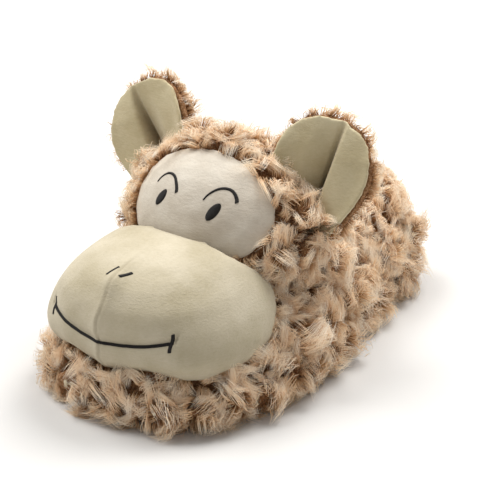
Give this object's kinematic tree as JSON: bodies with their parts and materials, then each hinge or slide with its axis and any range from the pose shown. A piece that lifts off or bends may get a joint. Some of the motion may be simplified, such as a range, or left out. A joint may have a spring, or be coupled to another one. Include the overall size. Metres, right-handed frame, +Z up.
{
  "type": "animal slipper",
  "caption": "Closed-toe plush house slipper with a stuffed sheep's head on the vamp, shaggy rosette pile, cream velour face and muzzle, upright fleece-lined ears and stitched features.",
  "frame": {"origin": "on the floor, under the middle of the slipper's box", "axes": "+Z up, -Y towards the toe, +X towards the wearer's left"},
  "size_m": [0.1682, 0.264, 0.1406],
  "materials": {
    "rosette plush": "deep pile",
    "cream velour": "short nap",
    "ear fleece": "short nap",
    "black stitching": "satin",
    "sole cloth": "matt",
    "insole fleece": "short nap"
  },
  "bodies": {
    "root": {"outsole": "sole cloth", "insole": "insole fleece", "upper": "rosette plush", "head": "rosette plush", "face_panel": "cream velour", "muzzle": "cream velour", "ear_back_left": "rosette plush", "ear_back_right": "rosette plush", "ear_lining_left": "ear fleece", "ear_lining_right": "ear fleece", "eye_left": "black stitching", "eye_right": "black stitching", "brow_left": "black stitching", "brow_right": "black stitching", "nostril_left": "black stitching", "nostril_right": "black stitching", "mouth": "black stitching"}
  },
  "joints": []
}
